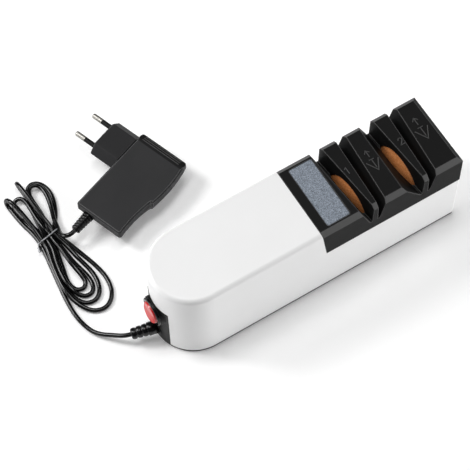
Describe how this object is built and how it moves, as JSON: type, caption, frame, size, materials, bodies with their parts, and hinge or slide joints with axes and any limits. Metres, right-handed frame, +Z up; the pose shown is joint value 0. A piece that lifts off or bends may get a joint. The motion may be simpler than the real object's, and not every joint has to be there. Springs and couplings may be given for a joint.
{
  "type": "electric knife sharpener",
  "caption": "Desktop electric knife sharpener with slotted grinding head, flat whetstone, round rocker switch and captive lead to a plug-in mains adapter.",
  "frame": {"origin": "on the supporting surface, under the centre of the sharpener's bounding box without its free cord, adapter and plug", "axes": "+X along the body from the switch end to the grinding head; +Y across the body to the far side, where the adapter lies; +Z up"},
  "size_m": [0.2741, 0.2005, 0.0796],
  "materials": {
    "shell_white": "satin moulded ABS",
    "cap_black": "fine moulded texture",
    "whetstone_grey": "fine grit, unglazed",
    "abrasive_orange": "bonded abrasive",
    "base_black": "moulded",
    "panel_black": "moulded",
    "switch_black": "smooth",
    "rocker_red": "smooth",
    "cord_black": "soft PVC",
    "relief_black": "soft PVC",
    "feet_rubber": "matt",
    "screw_steel": "zinc plated",
    "turned_steel": "turned",
    "motor_steel": "zinc plated",
    "bracket_grey": "moulded",
    "bush_bronze": "sintered",
    "terminal_brass": "plain",
    "wire_red": "PVC",
    "tie_grey": "PVC over wire",
    "adapter_black": "satin moulded",
    "pin_nickel": "nickel plated"
  },
  "bodies": {
    "casing": {"housing_shell": "shell_white", "head_cap": "cap_black", "whetstone": "whetstone_grey", "base_plate": "base_black", "base_screws": "screw_steel", "rubber_feet": "feet_rubber", "rear_panel": "panel_black", "switch_body": "switch_black", "switch_terminals": "terminal_brass", "cord_strain_relief": "relief_black", "inner_wires": "wire_red", "motor_can": "motor_steel", "motor_end_cap": "base_black", "motor_terminals": "terminal_brass", "motor_cradle": "bracket_grey", "motor_strap": "motor_steel", "strap_screws": "screw_steel", "rear_bracket": "bracket_grey", "front_bracket": "bracket_grey", "rear_bush": "bush_bronze", "front_bush": "bush_bronze", "lead_cord": "cord_black", "cord_hank": "cord_black", "hank_tie": "tie_grey", "adapter_lead": "cord_black", "adapter_strain_relief": "relief_black", "adapter_case_top": "adapter_black", "adapter_case_bottom": "adapter_black", "plug_block": "adapter_black", "pin_sleeves": "adapter_black", "plug_pins": "pin_nickel"},
    "rotor": {"motor_shaft": "turned_steel", "shaft_coupling": "turned_steel", "wheel_shaft": "turned_steel", "rear_collar": "turned_steel", "thrust_collar": "turned_steel", "coarse_wheel": "abrasive_orange", "fine_wheel": "abrasive_orange", "coarse_hub": "turned_steel", "fine_hub": "turned_steel", "coarse_washer": "turned_steel", "fine_washer": "turned_steel", "spacer_sleeve": "turned_steel", "lock_nut": "screw_steel"},
    "rocker": {"rocker": "rocker_red"}
  },
  "joints": [
    {"name": "wheel_spin", "type": "hinge", "parent": "casing", "child": "rotor", "pos_m": [0, 0, 0.049], "axis": [1, 0, 0], "continuous": true},
    {"name": "power_switch", "type": "hinge", "parent": "casing", "child": "rocker", "pos_m": [-0.11288, 0, 0.0386], "axis": [0, -1, 0], "range_deg": [0, 12]}
  ]
}
